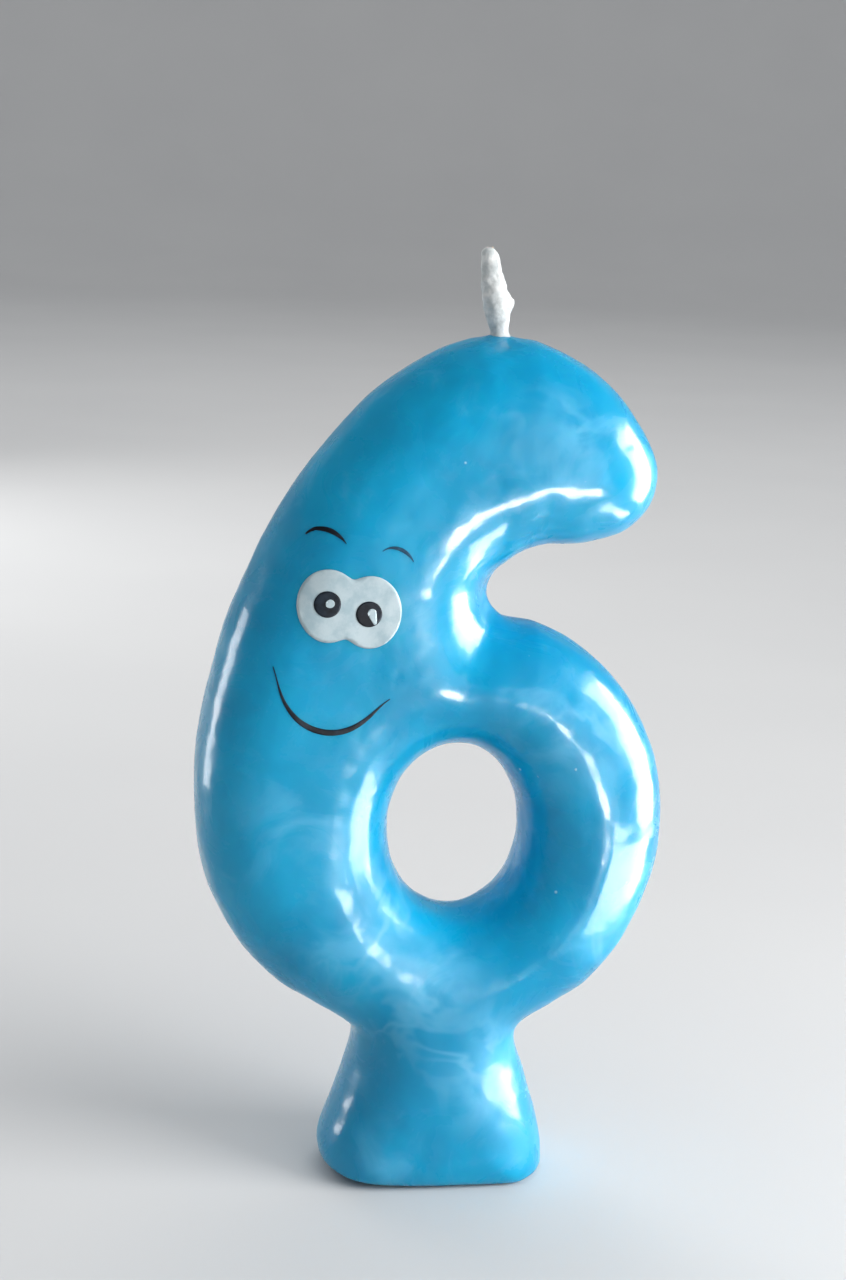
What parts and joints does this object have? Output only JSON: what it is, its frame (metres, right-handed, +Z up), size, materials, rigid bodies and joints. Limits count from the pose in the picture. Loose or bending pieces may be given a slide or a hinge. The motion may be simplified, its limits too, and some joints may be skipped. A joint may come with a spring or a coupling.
{
  "type": "number birthday candle",
  "caption": "Puffed wax candle in the shape of a numeral 6 on a flared foot, with a braided, wax-dipped wick and a simple printed smiling face.",
  "frame": {"origin": "middle of the foot's flat base, on the mid-plane between the front and the back", "axes": "+Z up towards the wick, -Y towards the viewer who reads the numeral, +X to that viewer's right"},
  "size_m": [0.0423, 0.0155, 0.0843],
  "materials": {
    "blue_wax": "glossy translucent candle wax, bright cyan blue",
    "white_dip_wax": "milky white candle wax, uneven and slightly translucent",
    "cotton": "wax-soaked braided cotton",
    "white_ink": "pad-printed white ink, slightly see-through",
    "black_ink": "pad-printed black ink"
  },
  "bodies": {
    "root": {"wax_body": "blue_wax", "wick_wax_coat": "white_dip_wax", "wick_strand_1": "cotton", "wick_strand_2": "cotton", "wick_strand_3": "cotton", "eye_whites": "white_ink", "left_pupil": "black_ink", "right_pupil": "black_ink", "left_pupil_glint": "white_ink", "right_pupil_glint": "white_ink", "left_brow": "black_ink", "right_brow": "black_ink", "smile": "black_ink"}
  },
  "joints": []
}
